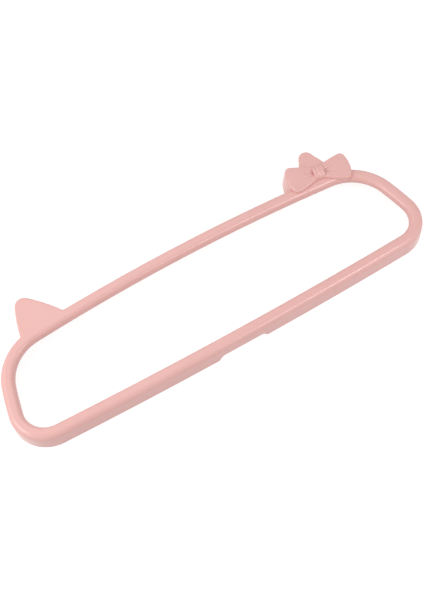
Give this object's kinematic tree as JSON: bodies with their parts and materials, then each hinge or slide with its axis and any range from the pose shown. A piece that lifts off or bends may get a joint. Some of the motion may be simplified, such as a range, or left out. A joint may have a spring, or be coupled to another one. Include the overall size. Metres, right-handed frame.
{
  "type": "cat-ear rear-view-mirror trim frame",
  "caption": "Slim stick-on trim frame for a car's interior mirror: rounded ring with a deep skirt, cat ears on top, a pleated bow on the right ear and a lever notch below.",
  "frame": {"origin": "centre of the overall box in X and Y, at the skirt's back edge in Z", "axes": "+X along the length to the bow's side, +Y from the lower rail to the ears, +Z out of the face"},
  "size_m": [0.2542, 0.0854, 0.0155],
  "materials": {
    "pink_abs": "satin-gloss moulded ABS",
    "pink_abs_bow": "satin-gloss moulded ABS",
    "pink_abs_knot": "satin-gloss moulded ABS",
    "foam_tape": "closed-cell foam",
    "release_liner": "siliconed paper"
  },
  "bodies": {
    "root": {"rim_frame": "pink_abs", "bow": "pink_abs_bow", "bow_knot": "pink_abs_knot", "tape_top_left": "foam_tape", "tape_top_right": "foam_tape", "tape_bottom_left": "foam_tape", "tape_bottom_right": "foam_tape", "tape_end_left": "foam_tape", "tape_end_right": "foam_tape", "liner_top_left": "release_liner", "liner_top_right": "release_liner", "liner_bottom_left": "release_liner", "liner_bottom_right": "release_liner", "liner_end_left": "release_liner", "liner_end_right": "release_liner"}
  },
  "joints": []
}
